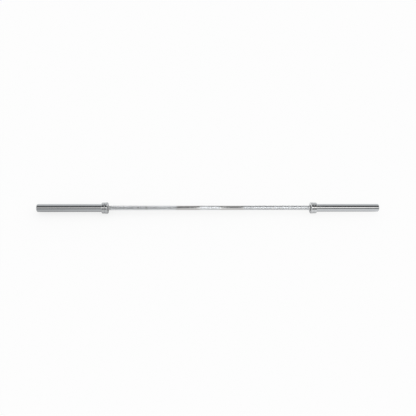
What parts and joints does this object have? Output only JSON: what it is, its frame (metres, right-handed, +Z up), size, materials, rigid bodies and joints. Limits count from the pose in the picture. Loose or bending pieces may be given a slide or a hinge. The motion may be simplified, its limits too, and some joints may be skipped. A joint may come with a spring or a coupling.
{
  "type": "olympic barbell",
  "caption": "Long straight barbell: a knurled chrome steel shaft with ring marks, and smooth free-turning sleeves behind wide grooved collars that carry weight plates.",
  "frame": {"origin": "on the bar's axis at mid-length, the middle of the whole bar", "axes": "+X along the bar to its right end, +Z up, the picture taken from the -Y side"},
  "size_m": [2.184, 0.072, 0.072],
  "materials": {
    "shaft_chrome": "hard chrome over knurled steel",
    "sleeve_chrome": "bright chrome, finely turned",
    "collar_chrome": "bright polished chrome",
    "seal_rubber": "matt black",
    "bushing_bronze": "oiled bronze",
    "washer_steel": "ground",
    "ring_steel": "dark phosphate",
    "cap_plastic": "moulded, satin black"
  },
  "bodies": {
    "bar": {"shaft": "shaft_chrome", "left_inner_washer": "washer_steel", "left_outer_washer": "washer_steel", "left_shaft_ring": "ring_steel", "right_inner_washer": "washer_steel", "right_outer_washer": "washer_steel", "right_shaft_ring": "ring_steel"},
    "left_rotor": {"left_sleeve": "sleeve_chrome", "left_collar": "collar_chrome", "left_dust_seal": "seal_rubber", "left_inner_bushing": "bushing_bronze", "left_outer_bushing": "bushing_bronze", "left_end_cap": "cap_plastic", "left_end_cap_ring": "ring_steel"},
    "right_rotor": {"right_sleeve": "sleeve_chrome", "right_collar": "collar_chrome", "right_dust_seal": "seal_rubber", "right_inner_bushing": "bushing_bronze", "right_outer_bushing": "bushing_bronze", "right_end_cap": "cap_plastic", "right_end_cap_ring": "ring_steel"}
  },
  "joints": [
    {"name": "left_sleeve_spin", "type": "hinge", "parent": "bar", "child": "left_rotor", "pos_m": [-0.8, 0, 0], "axis": [1, 0, 0], "continuous": true},
    {"name": "right_sleeve_spin", "type": "hinge", "parent": "bar", "child": "right_rotor", "pos_m": [0.8, 0, 0], "axis": [1, 0, 0], "continuous": true}
  ]
}
